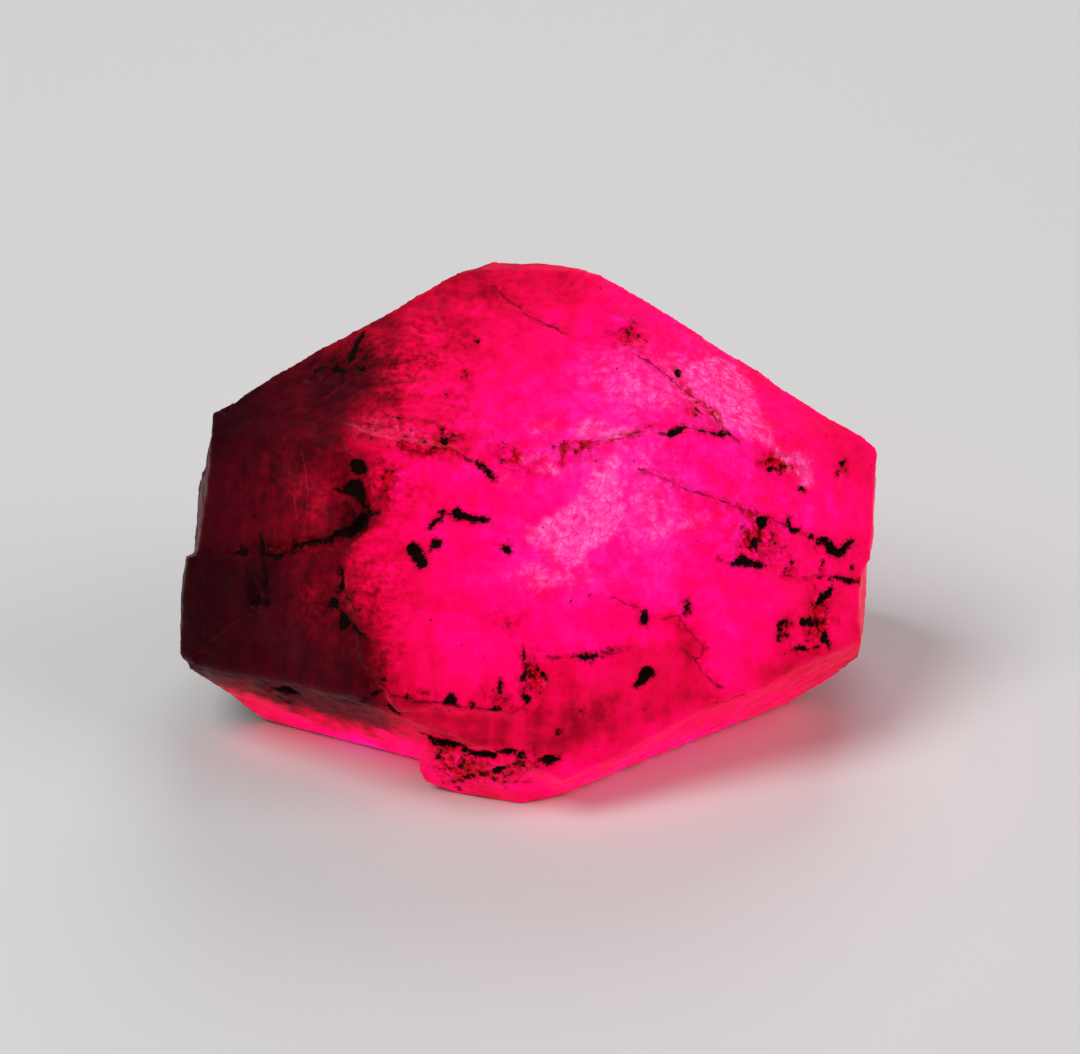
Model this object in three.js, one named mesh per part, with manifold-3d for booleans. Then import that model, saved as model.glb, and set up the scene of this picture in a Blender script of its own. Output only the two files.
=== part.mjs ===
// A raw ruby crystal: one piece of corundum as it comes out of the rock, about 63 mm long.
// It is a squat six-sided barrel lying on a flat broken base. Steep crystal faces meet along
// worn edges, thin broken plates stand proud of some of them, parting cracks cross it, and
// pits hold small dark grains of mica. All lengths are in millimetres, +X is to the right,
// +Y to the back and +Z up.
import * as THREE from 'three';
import { ConvexGeometry } from 'three/addons/geometries/ConvexGeometry.js';
import { ImprovedNoise } from 'three/addons/math/ImprovedNoise.js';
import { mergeVertices } from 'three/addons/utils/BufferGeometryUtils.js';
import Module from 'manifold-3d';

const wasm = await Module();
wasm.setup();
const noise = new ImprovedNoise();

// Driving dimensions.
const HEIGHT = 40;
const HEART = new THREE.Vector3(0, 0, HEIGHT / 2);
const BLANK = 120;

// How broken and worn the stone is: the steps of a plate's edge, the steps of a crack and how
// far they overlap, how uneven a pit is, and the wander of the whole surface, which dies out
// towards the flat base.
const RAGGED_STEP = 2.6;
const RAGGED_RISE = 0.9;
const CRACK_STEP = 4;
const CRACK_OVERLAP = 1.5;
const PIT_RAGGED = 0.45;
const WEAR = [
  { size: 8.5, rise: 0.42 },
  { size: 3.1, rise: 0.17 },
];
const BASE_FADE = 2.5;

// The mesh: its longest edge, how flat two neighbours are that share a flat face, how much
// over a half turn their far corners add up to before their edge is turned, and how often.
const LONGEST_EDGE = 2.9;
const FLAT_WITHIN = 0.004;
const TURN_SLACK = 1e-4;
const TURN_ROUNDS = 60;
const MERGE_WITHIN = 1e-4;

// Places in the noise that are far enough apart to give unlike wander.
const NOISE_U = 0.4;
const NOISE_V = 9.7;
const NOISE_X = new THREE.Vector3(11, 0, 0);
const NOISE_Y = new THREE.Vector3(0, 23, 0);
const NOISE_Z = new THREE.Vector3(0, 0, 37);

// Crystal faces. compass is the way a face looks, seen from above: 0 is right, 90 is back.
// lift is how far it looks up, in degrees, and reach is its distance from the heart.
const FACES = [
  { name: 'front', compass: -90, lift: 31, reach: 9.3 },
  { name: 'front foot wall', compass: -98, lift: -4, reach: 16.9 },
  { name: 'right foot wall', compass: -71, lift: 5, reach: 15.3 },
  { name: 'front undercut', compass: -92, lift: -50, reach: 23.6 },
  { name: 'top', compass: -91, lift: 61, reach: 11.6 },
  { name: 'right shoulder', compass: -23.5, lift: 59, reach: 17.6 },
  { name: 'right front', compass: -66, lift: 22, reach: 13.4 },
  { name: 'right cheek', compass: -44.5, lift: 30, reach: 16.9 },
  { name: 'right end', compass: -6, lift: 0, reach: 30.1 },
  { name: 'right undercut', compass: -54, lift: -40, reach: 21.9 },
  { name: 'right far undercut', compass: 0, lift: -45, reach: 31.4 },
  { name: 'left shoulder', compass: -150.5, lift: 64, reach: 17.6 },
  { name: 'left front', compass: -126.5, lift: 17, reach: 16.6 },
  { name: 'left end', compass: -177, lift: 7.5, reach: 28.8 },
  { name: 'left undercut', compass: -115, lift: -37.5, reach: 20.2 },
  { name: 'left far undercut', compass: 169.5, lift: -38.5, reach: 30.9 },
  { name: 'back left slope', compass: 119, lift: 27, reach: 21 },
  { name: 'back slope', compass: 86, lift: 60, reach: 24 },
  { name: 'back right slope', compass: 64.5, lift: 25.5, reach: 20.6 },
  { name: 'back', compass: 93, lift: -12, reach: 21.5 },
  { name: 'back undercut', compass: 84, lift: -48, reach: 23.5 },
];

// Directions that the smaller features are placed from. A feature's u runs to the right and v
// upwards, as seen from there, and both start at the heart.
const FRONT = { compass: -90, lift: 30 };
const BACK = { compass: 90, lift: 0 };
const RIGHT = { compass: 0, lift: 0 };
const LEFT = { compass: 180, lift: 0 };
const ABOVE = { compass: -90, lift: 80 };

// Broken plates of the same crystal that stand proud: inside an outline, as seen from a side,
// the faces named stand out by rise. A lid planes the plate off.
const PLATES = [
  {
    name: 'front plate',
    seen: FRONT,
    faces: ['front', 'left front', 'front foot wall', 'top'],
    rise: 1.2,
    lid: { compass: -87, lift: 31, reach: 9.8 },
    outline: [
      [-16, 9], [-13.5, 5.5], [-13, 1.5], [-15.3, -1], [-16, -4.2], [-14.8, -8], [-14.5, -11],
      [-12.6, -13.6], [-11, -15.5], [-7.5, -14.6], [-4, -15.8], [-0.5, -16], [0.6, -14.4], [1.8, -11.2],
      [7.3, -10.8], [10, -9.4], [11.5, -7.3], [11, 0], [11, 8.6], [6.5, 8], [3.4, 6.8],
      [1.3, 5.3], [-2.2, 5.8], [-4.2, 7.2], [-6.7, 7.9], [-11, 8.1],
    ],
  },
  {
    name: 'lower left plate',
    seen: FRONT,
    faces: ['left front', 'left end'],
    rise: 0.9,
    outline: [
      [-40, -2.8], [-25.6, -1.9], [-20, -1.5], [-15, -1.3], [-11, -6], [-11, -16], [-13, -18.2],
      [-22, -15], [-31.5, -11.2], [-40, -9],
    ],
  },
  {
    name: 'back plate',
    seen: BACK,
    faces: ['back', 'back slope', 'back left slope', 'back right slope', 'back undercut'],
    rise: 1.1,
    outline: [
      [-14, 8], [-6, 10], [3, 7.4], [8, 8.6], [13, 7], [17, 2], [14, -3], [16, -8], [9, -12],
      [3, -11], [-2, -11], [-9, -13], [-17, -9], [-15, -3], [-19, 2],
    ],
  },
  {
    name: 'back left ledge',
    seen: BACK,
    faces: ['back'],
    rise: 0.6,
    outline: [[18, 16], [16, 9], [19, 4], [18, -1], [22, -4], [21, -9], [26, -14], [40, -12], [40, 16]],
  },
  {
    name: 'right end plate',
    seen: RIGHT,
    faces: ['right end'],
    rise: 0.6,
    outline: [[-24, -4.4], [-12, -3.6], [-5, -4.3], [2, -3.4], [10, -4.6], [24, -3.6], [24, 24], [-24, 24]],
  },
];

// Open cracks where the crystal has parted: a line, its width and its depth.
const CRACKS = [
  { seen: FRONT, width: 1.2, depth: 1, line: [[12.4, 13.6], [15.6, 11.2], [19.4, 8]] },
  { seen: FRONT, width: 1.1, depth: 1.1, line: [[18, -2.8], [25, -4], [31.2, -4.7]] },
  { seen: FRONT, width: 1.2, depth: 1, line: [[-26, -1.9], [-20, -1.3], [-15.5, -0.9], [-12.8, 1.8]] },
  { seen: BACK, width: 1.2, depth: 1, line: [[-30, -3.6], [-24, -4.4], [-17, -2.6]] },
  { seen: BACK, width: 1.1, depth: 0.9, line: [[-7, 15], [-3, 11], [0, 7.6]] },
  { seen: LEFT, width: 1.1, depth: 0.9, line: [[-2, 3], [-6, 5.4], [-9, 11]] },
];

// Pits that dark grains sit in, and flakes broken off the edges: width, height and depth.
const PITS = [
  { seen: FRONT, at: [-15.4, 4.4], size: [2.6, 3, 1] },
  { seen: FRONT, at: [-9.4, -1.8], size: [2.4, 1.8, 0.7] },
  { seen: FRONT, at: [10.4, -12.5], size: [2.2, 2, 0.8] },
  { seen: FRONT, at: [19.8, -0.2], size: [4.2, 3, 0.8] },
  { seen: FRONT, at: [26.8, -1.4], size: [3.2, 1.8, 0.9] },
  { seen: FRONT, at: [26.4, -7.4], size: [2.6, 4.2, 1] },
  { seen: FRONT, at: [21, 6.2], size: [4, 1.9, 0.9] },
  { seen: FRONT, at: [8.8, 17.6], size: [3.2, 2.6, 0.7] },
  { seen: FRONT, at: [-24.2, -5.4], size: [1.6, 3.6, 0.8] },
  { seen: FRONT, at: [-18, 14.2], size: [4, 1.6, 0.8] },
  { seen: FRONT, at: [-21, -14], size: [3, 1.6, 0.9] },
  { seen: FRONT, at: [1.4, -12.4], size: [1.9, 3.2, 0.7] },
  { seen: FRONT, at: [-5, 6.6], size: [3.8, 1.8, 0.9] },
  { seen: BACK, at: [-21, 2], size: [3.4, 2.4, 0.9] },
  { seen: BACK, at: [-8, 4], size: [2.6, 2, 0.8] },
  { seen: BACK, at: [3, -5], size: [3, 2.2, 0.9] },
  { seen: BACK, at: [10, 11], size: [3.4, 2.2, 0.8] },
  { seen: BACK, at: [19, -7], size: [2.4, 3.4, 0.9] },
  { seen: LEFT, at: [-5, -7], size: [2.2, 3.2, 0.9] },
  { seen: LEFT, at: [-9, 2], size: [3.2, 2, 0.9] },
  { seen: RIGHT, at: [4, 3], size: [3, 2, 0.8] },
  { seen: RIGHT, at: [7, -8], size: [2.4, 3, 0.9] },
  { seen: ABOVE, at: [-9, 10], size: [3, 2.2, 0.8] },
  { seen: ABOVE, at: [12, 8], size: [2.2, 3.2, 0.8] },
];

// The lump that the crystal's foot ends in at the front: its corners.
const LUMP = [
  [-10, -11.4, 4.2], [-9.2, -11.6, 1], [-6.4, -12, 0], [-0.5, -13.7, 0], [1.8, -13, 0], [5.5, -9.8, 0],
  [-8.7, -13.4, 6.4], [-2, -15.8, 6], [3, -15, 6.2], [-4, -8, 0], [3, -8, 0], [-6, -9, 8], [4, -9, 8],
];

function lookOf({ compass, lift }) {
  const around = THREE.MathUtils.degToRad(compass);
  const up = THREE.MathUtils.degToRad(lift);
  return new THREE.Vector3(Math.cos(around) * Math.cos(up), Math.sin(around) * Math.cos(up), Math.sin(up));
}

// The frame of a view: x to the right, y upwards and z towards the eye, from the heart.
function frameOf(seen) {
  const towards = lookOf(seen);
  const right = new THREE.Vector3(0, 0, 1).cross(towards).normalize();
  const up = towards.clone().cross(right);
  return new THREE.Matrix4().makeBasis(right, up, towards).setPosition(HEART);
}

function solidOf(geometry) {
  const bare = geometry.clone();
  bare.deleteAttribute('normal');
  bare.deleteAttribute('uv');
  const merged = mergeVertices(bare, MERGE_WITHIN);
  return new wasm.Manifold(new wasm.Mesh({
    numProp: 3,
    vertProperties: merged.attributes.position.array,
    triVerts: new Uint32Array(merged.index.array),
  }));
}

function geometryOf(solid) {
  const mesh = solid.getMesh();
  const geometry = new THREE.BufferGeometry();
  geometry.setAttribute('position', new THREE.BufferAttribute(new Float32Array(mesh.vertProperties), 3));
  geometry.setIndex(new THREE.BufferAttribute(new Uint32Array(mesh.triVerts), 1));
  return geometry;
}

// Everything outside one crystal face, as a block to take away.
function outside(face) {
  const block = new THREE.BoxGeometry(BLANK * 2, BLANK * 2, BLANK);
  block.translate(0, 0, BLANK / 2 + face.reach);
  block.applyQuaternion(new THREE.Quaternion().setFromUnitVectors(new THREE.Vector3(0, 0, 1), lookOf(face)));
  block.translate(HEART.x, HEART.y, HEART.z);
  return solidOf(block);
}

function barrelOf(faces) {
  let body = solidOf(new THREE.BoxGeometry(BLANK, BLANK, HEIGHT).translate(0, 0, HEIGHT / 2));
  for (const face of faces) {
    body = body.subtract(outside(face));
  }
  return body;
}

// An outline with each side broken up into short steps that wander off the straight.
function ragged(outline) {
  const broken = [];
  outline.forEach(([u, v], i) => {
    const start = new THREE.Vector2(u, v);
    const end = new THREE.Vector2(...outline[(i + 1) % outline.length]);
    const steps = Math.ceil(start.distanceTo(end) / RAGGED_STEP);
    for (let step = 0; step < steps; step += 1) {
      const spot = start.clone().lerp(end, step / steps);
      const du = noise.noise(spot.x, spot.y, NOISE_U) * RAGGED_RISE;
      const dv = noise.noise(spot.x, spot.y, NOISE_V) * RAGGED_RISE;
      broken.push(spot.add(new THREE.Vector2(du, dv)));
    }
  });
  return broken;
}

function plateOf({ seen, faces, rise, lid, outline }) {
  const pushed = FACES.map((face) => {
    const push = faces.includes(face.name) ? rise : 0;
    return { ...face, reach: face.reach + push };
  });
  const shape = new THREE.Shape(ragged(outline));
  const post = new THREE.ExtrudeGeometry(shape, { depth: BLANK, bevelEnabled: false });
  post.translate(0, 0, -BLANK / 2);
  const plate = solidOf(post.applyMatrix4(frameOf(seen))).intersect(barrelOf(pushed));
  return lid ? plate.subtract(outside(lid)) : plate;
}

// Where a line of sight meets the stone, with the way out of the stone there, or nothing.
function landing(stone, seen, [u, v]) {
  const start = new THREE.Vector3(u, v, BLANK).applyMatrix4(frameOf(seen));
  const ray = new THREE.Raycaster(start, lookOf(seen).negate());
  const hit = ray.intersectObject(stone)[0];
  return hit && { point: hit.point, out: hit.face.normal };
}

// Where a line of sight meets the flat that a landing lies on.
function onFlat({ point, out }, seen, [u, v]) {
  const start = new THREE.Vector3(u, v, 0).applyMatrix4(frameOf(seen));
  const towards = lookOf(seen);
  const way = point.clone().sub(start).dot(out) / towards.dot(out);
  return start.addScaledVector(towards, way);
}

// The solid that a flat-sided tool leaves when it is pressed in along a direction.
function pressed(gem, { point, out }, along, [length, width, depth]) {
  const side = out.clone().cross(along).normalize();
  const ahead = side.clone().cross(out);
  gem.scale(length / 2, width / 2, depth);
  return solidOf(gem.applyMatrix4(new THREE.Matrix4().makeBasis(ahead, side, out).setPosition(point)));
}

function cracksOf(stone, { seen, width, depth, line }) {
  const nicks = [];
  for (let i = 1; i < line.length; i += 1) {
    const from = new THREE.Vector2(...line[i - 1]);
    const to = new THREE.Vector2(...line[i]);
    const steps = Math.ceil(from.distanceTo(to) / CRACK_STEP);
    for (let step = 0; step < steps; step += 1) {
      const start = from.clone().lerp(to, step / steps);
      const end = from.clone().lerp(to, (step + 1) / steps);
      const spot = landing(stone, seen, start.clone().lerp(end, 0.5).toArray());
      if (spot) {
        const along = onFlat(spot, seen, end.toArray()).sub(onFlat(spot, seen, start.toArray()));
        const size = [along.length() * CRACK_OVERLAP, width, depth];
        nicks.push(pressed(new THREE.OctahedronGeometry(1), spot, along, size));
      }
    }
  }
  return nicks;
}

// A pit is pressed in by a twenty-sided lump with its corners knocked out of true.
function pitOf(stone, { seen, at, size }) {
  const lump = new THREE.IcosahedronGeometry(1);
  const place = lump.attributes.position;
  for (let i = 0; i < place.count; i += 1) {
    const corner = new THREE.Vector3().fromBufferAttribute(place, i);
    const knock = noise.noise(corner.x * 2 + at[0], corner.y * 2 + at[1], corner.z * 2 + size[0]);
    place.setXYZ(i, ...corner.multiplyScalar(1 + PIT_RAGGED * knock));
  }
  const along = new THREE.Vector3(1, 0, 0).transformDirection(frameOf(seen));
  return pressed(lump, landing(stone, seen, at), along, size);
}

function edgeKey(a, b) {
  return `${a} ${b}`;
}

// Halves the longest edge of each triangle where it is over the limit, and says whether any was.
function halveEdges(points, corners, limit) {
  const halves = new Map();
  const before = corners.splice(0);
  for (let i = 0; i < before.length; i += 3) {
    const [a, b, c] = before.slice(i, i + 3);
    const edges = [[a, b], [b, c], [c, a]].map(([from, to]) => ({
      from: Math.min(from, to), to: Math.max(from, to), length: points[from].distanceTo(points[to]),
    }));
    edges.sort((one, other) => other.length - one.length);
    const { from, to, length } = edges[0];
    if (length > limit && !halves.has(edgeKey(from, to))) {
      halves.set(edgeKey(from, to), points.length);
      points.push(points[from].clone().lerp(points[to], 0.5));
    }
  }
  const halfway = (from, to) => halves.get(edgeKey(Math.min(from, to), Math.max(from, to)));
  for (let i = 0; i < before.length; i += 3) {
    corners.push(...cutUp(before.slice(i, i + 3), halfway));
  }
  return halves.size > 0;
}

// One triangle cut at the halfway points that its edges have.
function cutUp([a, b, c], halfway) {
  const [ab, bc, ca] = [halfway(a, b), halfway(b, c), halfway(c, a)];
  if (ab && bc && ca) return [a, ab, ca, ab, b, bc, ca, bc, c, ab, bc, ca];
  if (ab && bc) return [a, ab, c, ab, b, bc, ab, bc, c];
  if (bc && ca) return [b, bc, a, bc, c, ca, bc, ca, a];
  if (ca && ab) return [c, ca, b, ca, a, ab, ca, ab, b];
  if (ab) return [a, ab, c, ab, b, c];
  if (bc) return [b, bc, a, bc, c, a];
  if (ca) return [c, ca, b, ca, a, b];
  return [a, b, c];
}

function angleAt(tip, a, b) {
  return a.clone().sub(tip).angleTo(b.clone().sub(tip));
}

// How far the fourth point lies off the flat of the larger of two neighbouring triangles.
function offFlat(a, b, c, d) {
  const here = new THREE.Triangle(a, b, c);
  const there = new THREE.Triangle(b, a, d);
  const [larger, other] = here.getArea() > there.getArea() ? [here, d] : [there, c];
  return Math.abs(larger.getPlane(new THREE.Plane()).distanceToPoint(other));
}

// Turns the edge that two flat neighbours share to the quad's other diagonal, wherever that
// makes them less thin. Says whether any was turned.
function turnEdges(points, corners) {
  const owner = new Map();
  for (let i = 0; i < corners.length; i += 1) {
    const next = i % 3 === 2 ? i - 2 : i + 1;
    owner.set(edgeKey(corners[i], corners[next]), i);
  }
  const done = new Set();
  for (let i = 0; i < corners.length; i += 1) {
    const first = i - (i % 3);
    const [a, b, c] = [0, 1, 2].map((k) => corners[first + ((i + k) % 3)]);
    const twin = owner.get(edgeKey(b, a));
    const second = twin - (twin % 3);
    const d = corners[second + ((twin + 2) % 3)];
    const stale = done.has(first) || done.has(second) || owner.has(edgeKey(c, d)) || owner.has(edgeKey(d, c));
    if (!stale && isThin(points[a], points[b], points[c], points[d])) {
      [corners[first], corners[first + 1], corners[first + 2]] = [a, d, c];
      [corners[second], corners[second + 1], corners[second + 2]] = [d, b, c];
      done.add(first);
      done.add(second);
    }
  }
  return done.size > 0;
}

function isThin(a, b, c, d) {
  return angleAt(c, a, b) + angleAt(d, a, b) > Math.PI + TURN_SLACK && offFlat(a, b, c, d) < FLAT_WITHIN;
}

// The same surface in even triangles with no edge over the longest allowed.
function divide(geometry, longest) {
  const place = geometry.attributes.position;
  const points = [];
  for (let i = 0; i < place.count; i += 1) {
    points.push(new THREE.Vector3().fromBufferAttribute(place, i));
  }
  const corners = Array.from(geometry.index.array);
  do {
    for (let round = 0; round < TURN_ROUNDS && turnEdges(points, corners); round += 1);
  } while (halveEdges(points, corners, longest));
  return { points, corners };
}

// Wear: the surface wanders in and out a little, less and less towards the flat base.
function worn(point) {
  const hold = THREE.MathUtils.smoothstep(point.z, 0, BASE_FADE);
  const moved = point.clone();
  for (const { size, rise } of WEAR) {
    const [dx, dy, dz] = [NOISE_X, NOISE_Y, NOISE_Z].map((shift) => {
      const at = point.clone().divideScalar(size).add(shift);
      return noise.noise(at.x, at.y, at.z);
    });
    moved.add(new THREE.Vector3(dx, dy, dz).multiplyScalar(rise * hold));
  }
  return moved;
}

let stone = barrelOf(FACES);
for (const plate of PLATES) {
  stone = stone.add(plateOf(plate));
}
stone = stone.add(solidOf(new ConvexGeometry(LUMP.map((corner) => new THREE.Vector3(...corner)))));

const uncut = new THREE.Mesh(geometryOf(stone));
for (const crack of CRACKS) {
  for (const cut of cracksOf(uncut, crack)) {
    stone = stone.subtract(cut);
  }
}
for (const pit of PITS) {
  stone = stone.subtract(pitOf(uncut, pit));
}

const { points, corners } = divide(geometryOf(stone), LONGEST_EDGE);
const surface = new THREE.BufferGeometry().setFromPoints(points.map(worn));
surface.setIndex(corners);
surface.computeBoundingBox();
const middle = surface.boundingBox.getCenter(new THREE.Vector3());
surface.translate(-middle.x, -middle.y, -surface.boundingBox.min.z);
surface.computeVertexNormals();

const crystal = new THREE.Mesh(
  surface,
  new THREE.MeshStandardMaterial({ color: 0xc4123f, roughness: 0.35, metalness: 0 }),
);
crystal.name = 'ruby_crystal';

const ruby = new THREE.Group();
ruby.add(crystal);
export default ruby;
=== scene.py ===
"""A raw ruby crystal, the lamp light shining up through it painted into its colour as glow: one worn,
cracked barrel of red corundum with black mica in its pits and pale veils under its faces."""

import math

import bmesh
import bpy
import numpy as np
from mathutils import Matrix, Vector, noise
from mathutils.bvhtree import BVHTree


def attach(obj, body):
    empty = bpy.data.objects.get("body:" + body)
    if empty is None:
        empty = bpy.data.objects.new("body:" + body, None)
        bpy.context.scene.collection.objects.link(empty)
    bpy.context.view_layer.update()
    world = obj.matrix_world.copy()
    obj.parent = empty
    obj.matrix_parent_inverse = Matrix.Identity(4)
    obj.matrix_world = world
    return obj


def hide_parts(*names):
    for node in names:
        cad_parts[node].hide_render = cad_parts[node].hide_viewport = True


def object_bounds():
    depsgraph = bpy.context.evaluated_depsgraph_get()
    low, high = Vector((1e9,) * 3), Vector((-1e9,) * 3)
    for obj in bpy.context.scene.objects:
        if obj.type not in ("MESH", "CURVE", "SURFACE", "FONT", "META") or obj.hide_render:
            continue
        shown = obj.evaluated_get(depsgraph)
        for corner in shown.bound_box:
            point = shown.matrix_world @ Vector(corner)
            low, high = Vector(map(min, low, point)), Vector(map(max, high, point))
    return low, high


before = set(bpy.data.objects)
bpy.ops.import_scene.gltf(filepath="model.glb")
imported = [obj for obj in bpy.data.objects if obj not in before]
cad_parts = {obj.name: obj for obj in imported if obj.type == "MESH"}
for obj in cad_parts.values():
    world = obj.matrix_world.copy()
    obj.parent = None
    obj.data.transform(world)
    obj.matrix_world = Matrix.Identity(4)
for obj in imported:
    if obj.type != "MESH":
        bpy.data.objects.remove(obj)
frame_low, frame_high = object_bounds()


# The camera looks down on the stone's front at 30 degrees, from about 37 cm off, through a long
# lens.
PICTURE_WIDTH = 1080
PICTURE_HEIGHT = 1054
AIM_MM = np.array((0.94, -3.64, 20.5))
LOOK_DOWN = math.radians(30)
VIEW_ANGLE = math.radians(15)
PIXELS_PER_MM = 11.2
MM = 0.001

focal_pixels = PICTURE_WIDTH / 2 / math.tan(VIEW_ANGLE / 2)
towards_camera = np.array((0, -math.cos(LOOK_DOWN), math.sin(LOOK_DOWN)))
camera_right = np.array((1, 0, 0))
camera_up = np.array((0, math.sin(LOOK_DOWN), math.cos(LOOK_DOWN)))
camera_mm = AIM_MM + towards_camera * focal_pixels / PIXELS_PER_MM

lens = bpy.data.cameras.new("camera")
lens.sensor_fit = "HORIZONTAL"
lens.angle = VIEW_ANGLE
lens.clip_start = 0.01
camera = bpy.data.objects.new("camera", lens)
camera.location = camera_mm * MM
camera.rotation_euler = (math.pi / 2 - LOOK_DOWN, 0, 0)
bpy.context.collection.objects.link(camera)
bpy.context.scene.camera = camera
bpy.context.scene.view_settings.view_transform = "Standard"


# The studio: a plain pale floor, a dim pale room, a large soft lamp above to the left, a weaker
# one to the right and one behind that parts the stone from the floor.
FLOOR_SIZE = 4
FLOOR_DROP = 0.00005
FLOOR_COLOUR = (0.74, 0.73, 0.73, 1)
ROOM_COLOUR = (0.86, 0.87, 0.9, 1)
ROOM_STRENGTH = 0.18
LAMPS = {
    "key_lamp": ((-0.5, -0.3, 0.85), 0.6, 6.2),
    "fill_lamp": ((0.65, -0.2, 0.55), 0.5, 1.6),
    "back_lamp": ((0.1, 0.7, 0.6), 0.5, 2.2),
}

bpy.ops.mesh.primitive_plane_add(size=FLOOR_SIZE, location=(0, 0, -FLOOR_DROP))
floor = bpy.context.active_object
floor.name = "floor"
floor_material = bpy.data.materials.new("pale_floor")
floor_material.use_nodes = True
floor_finish = floor_material.node_tree.nodes["Principled BSDF"]
floor_finish.inputs["Base Color"].default_value = FLOOR_COLOUR
floor_finish.inputs["Roughness"].default_value = 0.7
floor.data.materials.append(floor_material)

room = bpy.data.worlds.new("room")
room.use_nodes = True
room.node_tree.nodes["Background"].inputs["Color"].default_value = ROOM_COLOUR
room.node_tree.nodes["Background"].inputs["Strength"].default_value = ROOM_STRENGTH
bpy.context.scene.world = room

for name, (place, size, power) in LAMPS.items():
    lamp = bpy.data.lights.new(name, "AREA")
    lamp.shape = "DISK"
    lamp.size = size
    lamp.energy = power
    holder = bpy.data.objects.new(name, lamp)
    holder.location = place
    holder.rotation_euler = (Vector(AIM_MM * MM) - Vector(place)).to_track_quat("-Z", "Y").to_euler()
    bpy.context.collection.objects.link(holder)


# The crystal is a single piece of cloudy red corundum. Its flat faces are worn and finely
# stepped, broken plates stand proud of them, and it has parted along cracks. Black mica fills
# the pits, and pale healed veils lie inside. It rests on its flat broken base, fixed to nothing.
SKIN_MM = 0.336
BASE_KEEP_MM = 1.5

# Blender's vector noise starts from the clock unless it is given a seed.
NOISE_SEED = 1795817300
noise.seed_set(NOISE_SEED)


def skin_of(node):
    """The stone's solid as an even, closed mesh that its fine relief can be worked into."""
    plain = bpy.data.objects.new("plain_stone", node.data.copy())
    bpy.context.collection.objects.link(plain)
    form = bmesh.new()
    form.from_mesh(plain.data)
    bmesh.ops.remove_doubles(form, verts=form.verts, dist=MM / 1000)
    form.to_mesh(plain.data)
    form.free()
    remesh = plain.modifiers.new("even_skin", "REMESH")
    remesh.mode = "VOXEL"
    remesh.voxel_size = SKIN_MM * MM
    wear = plain.modifiers.new("worn_edges", "SMOOTH")
    wear.factor = 0.5
    wear.iterations = 2
    evaluated = plain.evaluated_get(bpy.context.evaluated_depsgraph_get())
    mesh = bpy.data.meshes.new_from_object(evaluated)
    bpy.data.objects.remove(plain)
    return mesh


def rows_of(items, name):
    values = np.empty(len(items) * 3)
    items.foreach_get(name, values)
    return values.reshape(-1, 3)


def wander(points, size, shift=0.0):
    """Smooth noise from about -1 to 1 at points, of a size in mm."""
    return np.array([noise.noise(Vector(point)) for point in points / size + shift])


def shaken(points, size, reach):
    """Points moved a little to and fro, so that a line drawn through them comes out jagged."""
    return points + reach * np.array([noise.noise_vector(Vector(point)) for point in points / size])


def steps(values, low, high):
    share = np.clip((values - low) / (high - low), 0, 1)
    return share * share * (3 - 2 * share)


def pixels_of(points):
    """Where points, in mm, fall in the camera's picture."""
    ray = points - camera_mm
    depth = -(ray @ towards_camera)
    across = PICTURE_WIDTH / 2 + focal_pixels * (ray @ camera_right) / depth
    down = PICTURE_HEIGHT / 2 - focal_pixels * (ray @ camera_up) / depth
    return np.stack([across, down], axis=1)


skin = skin_of(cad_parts["ruby_crystal"])
spots = rows_of(skin.vertices, "co") / MM
outward = rows_of(skin.vertex_normals, "vector")
faces = [tuple(face.vertices) for face in skin.polygons]
sight_tree = BVHTree.FromPolygons([Vector(spot) for spot in spots], faces)
jagged_spots = shaken(shaken(spots, 1.7, 0.3), 0.6, 0.13)
in_picture = pixels_of(shaken(shaken(spots, 3.2, 0.75), 0.9, 0.38))
sight = camera_mm - spots
seen = np.einsum("ij,ij->i", outward, sight) / np.linalg.norm(sight, axis=1)
facing = steps(seen, -0.05, 0.12)

# Marks on the side that the camera sees are laid out in pixels of its picture, 1080 by 1054, and
# each lands on the stone along its line of sight.
STRIDE_PIXELS = 20
FAR_MM = 9.0


def on_stone(x, y):
    ray = -towards_camera * focal_pixels
    ray = ray + camera_right * (x - PICTURE_WIDTH / 2) - camera_up * (y - PICTURE_HEIGHT / 2)
    place, _, _, _ = sight_tree.ray_cast(Vector(camera_mm), Vector(ray).normalized())
    return None if place is None else np.array(place)


def laid(stroke):
    """A stroke of (x, y, radius) pixels as points and radii in mm, in short strides."""
    line = [stroke[0]]
    for (x0, y0, r0), (x1, y1, r1) in zip(stroke, stroke[1:]):
        strides = math.ceil(math.hypot(x1 - x0, y1 - y0) / STRIDE_PIXELS)
        for share in np.linspace(0, 1, strides + 1)[1:]:
            line.append((x0 + (x1 - x0) * share, y0 + (y1 - y0) * share, r0 + (r1 - r0) * share))
    places = [(on_stone(x, y), radius / PIXELS_PER_MM) for x, y, radius in line]
    return [(place, radius) for place, radius in places if place is not None]


def gaps(strokes):
    """For each spot of the skin, how far it is outside the nearest stroke (below zero is inside),
    and how far it is to one side or the other (below zero) of that stroke's middle line, in mm."""
    outside = np.full(len(spots), FAR_MM)
    beside = np.full(len(spots), FAR_MM)
    for stroke in strokes:
        for (start, radius), (end, end_radius) in zip(stroke, stroke[1:] or stroke):
            along = end - start
            share = np.clip((jagged_spots - start) @ along / max(along @ along, 1e-9), 0, 1)
            arm = jagged_spots - start - share[:, None] * along
            reach = np.linalg.norm(arm, axis=1)
            gap = reach - radius - (end_radius - radius) * share
            side = np.where(np.einsum("ij,ij->i", np.cross(along, outward), arm) < 0, -reach, reach)
            beside = np.where(gap < outside, side, beside)
            outside = np.minimum(outside, gap)
    return outside, beside


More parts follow.
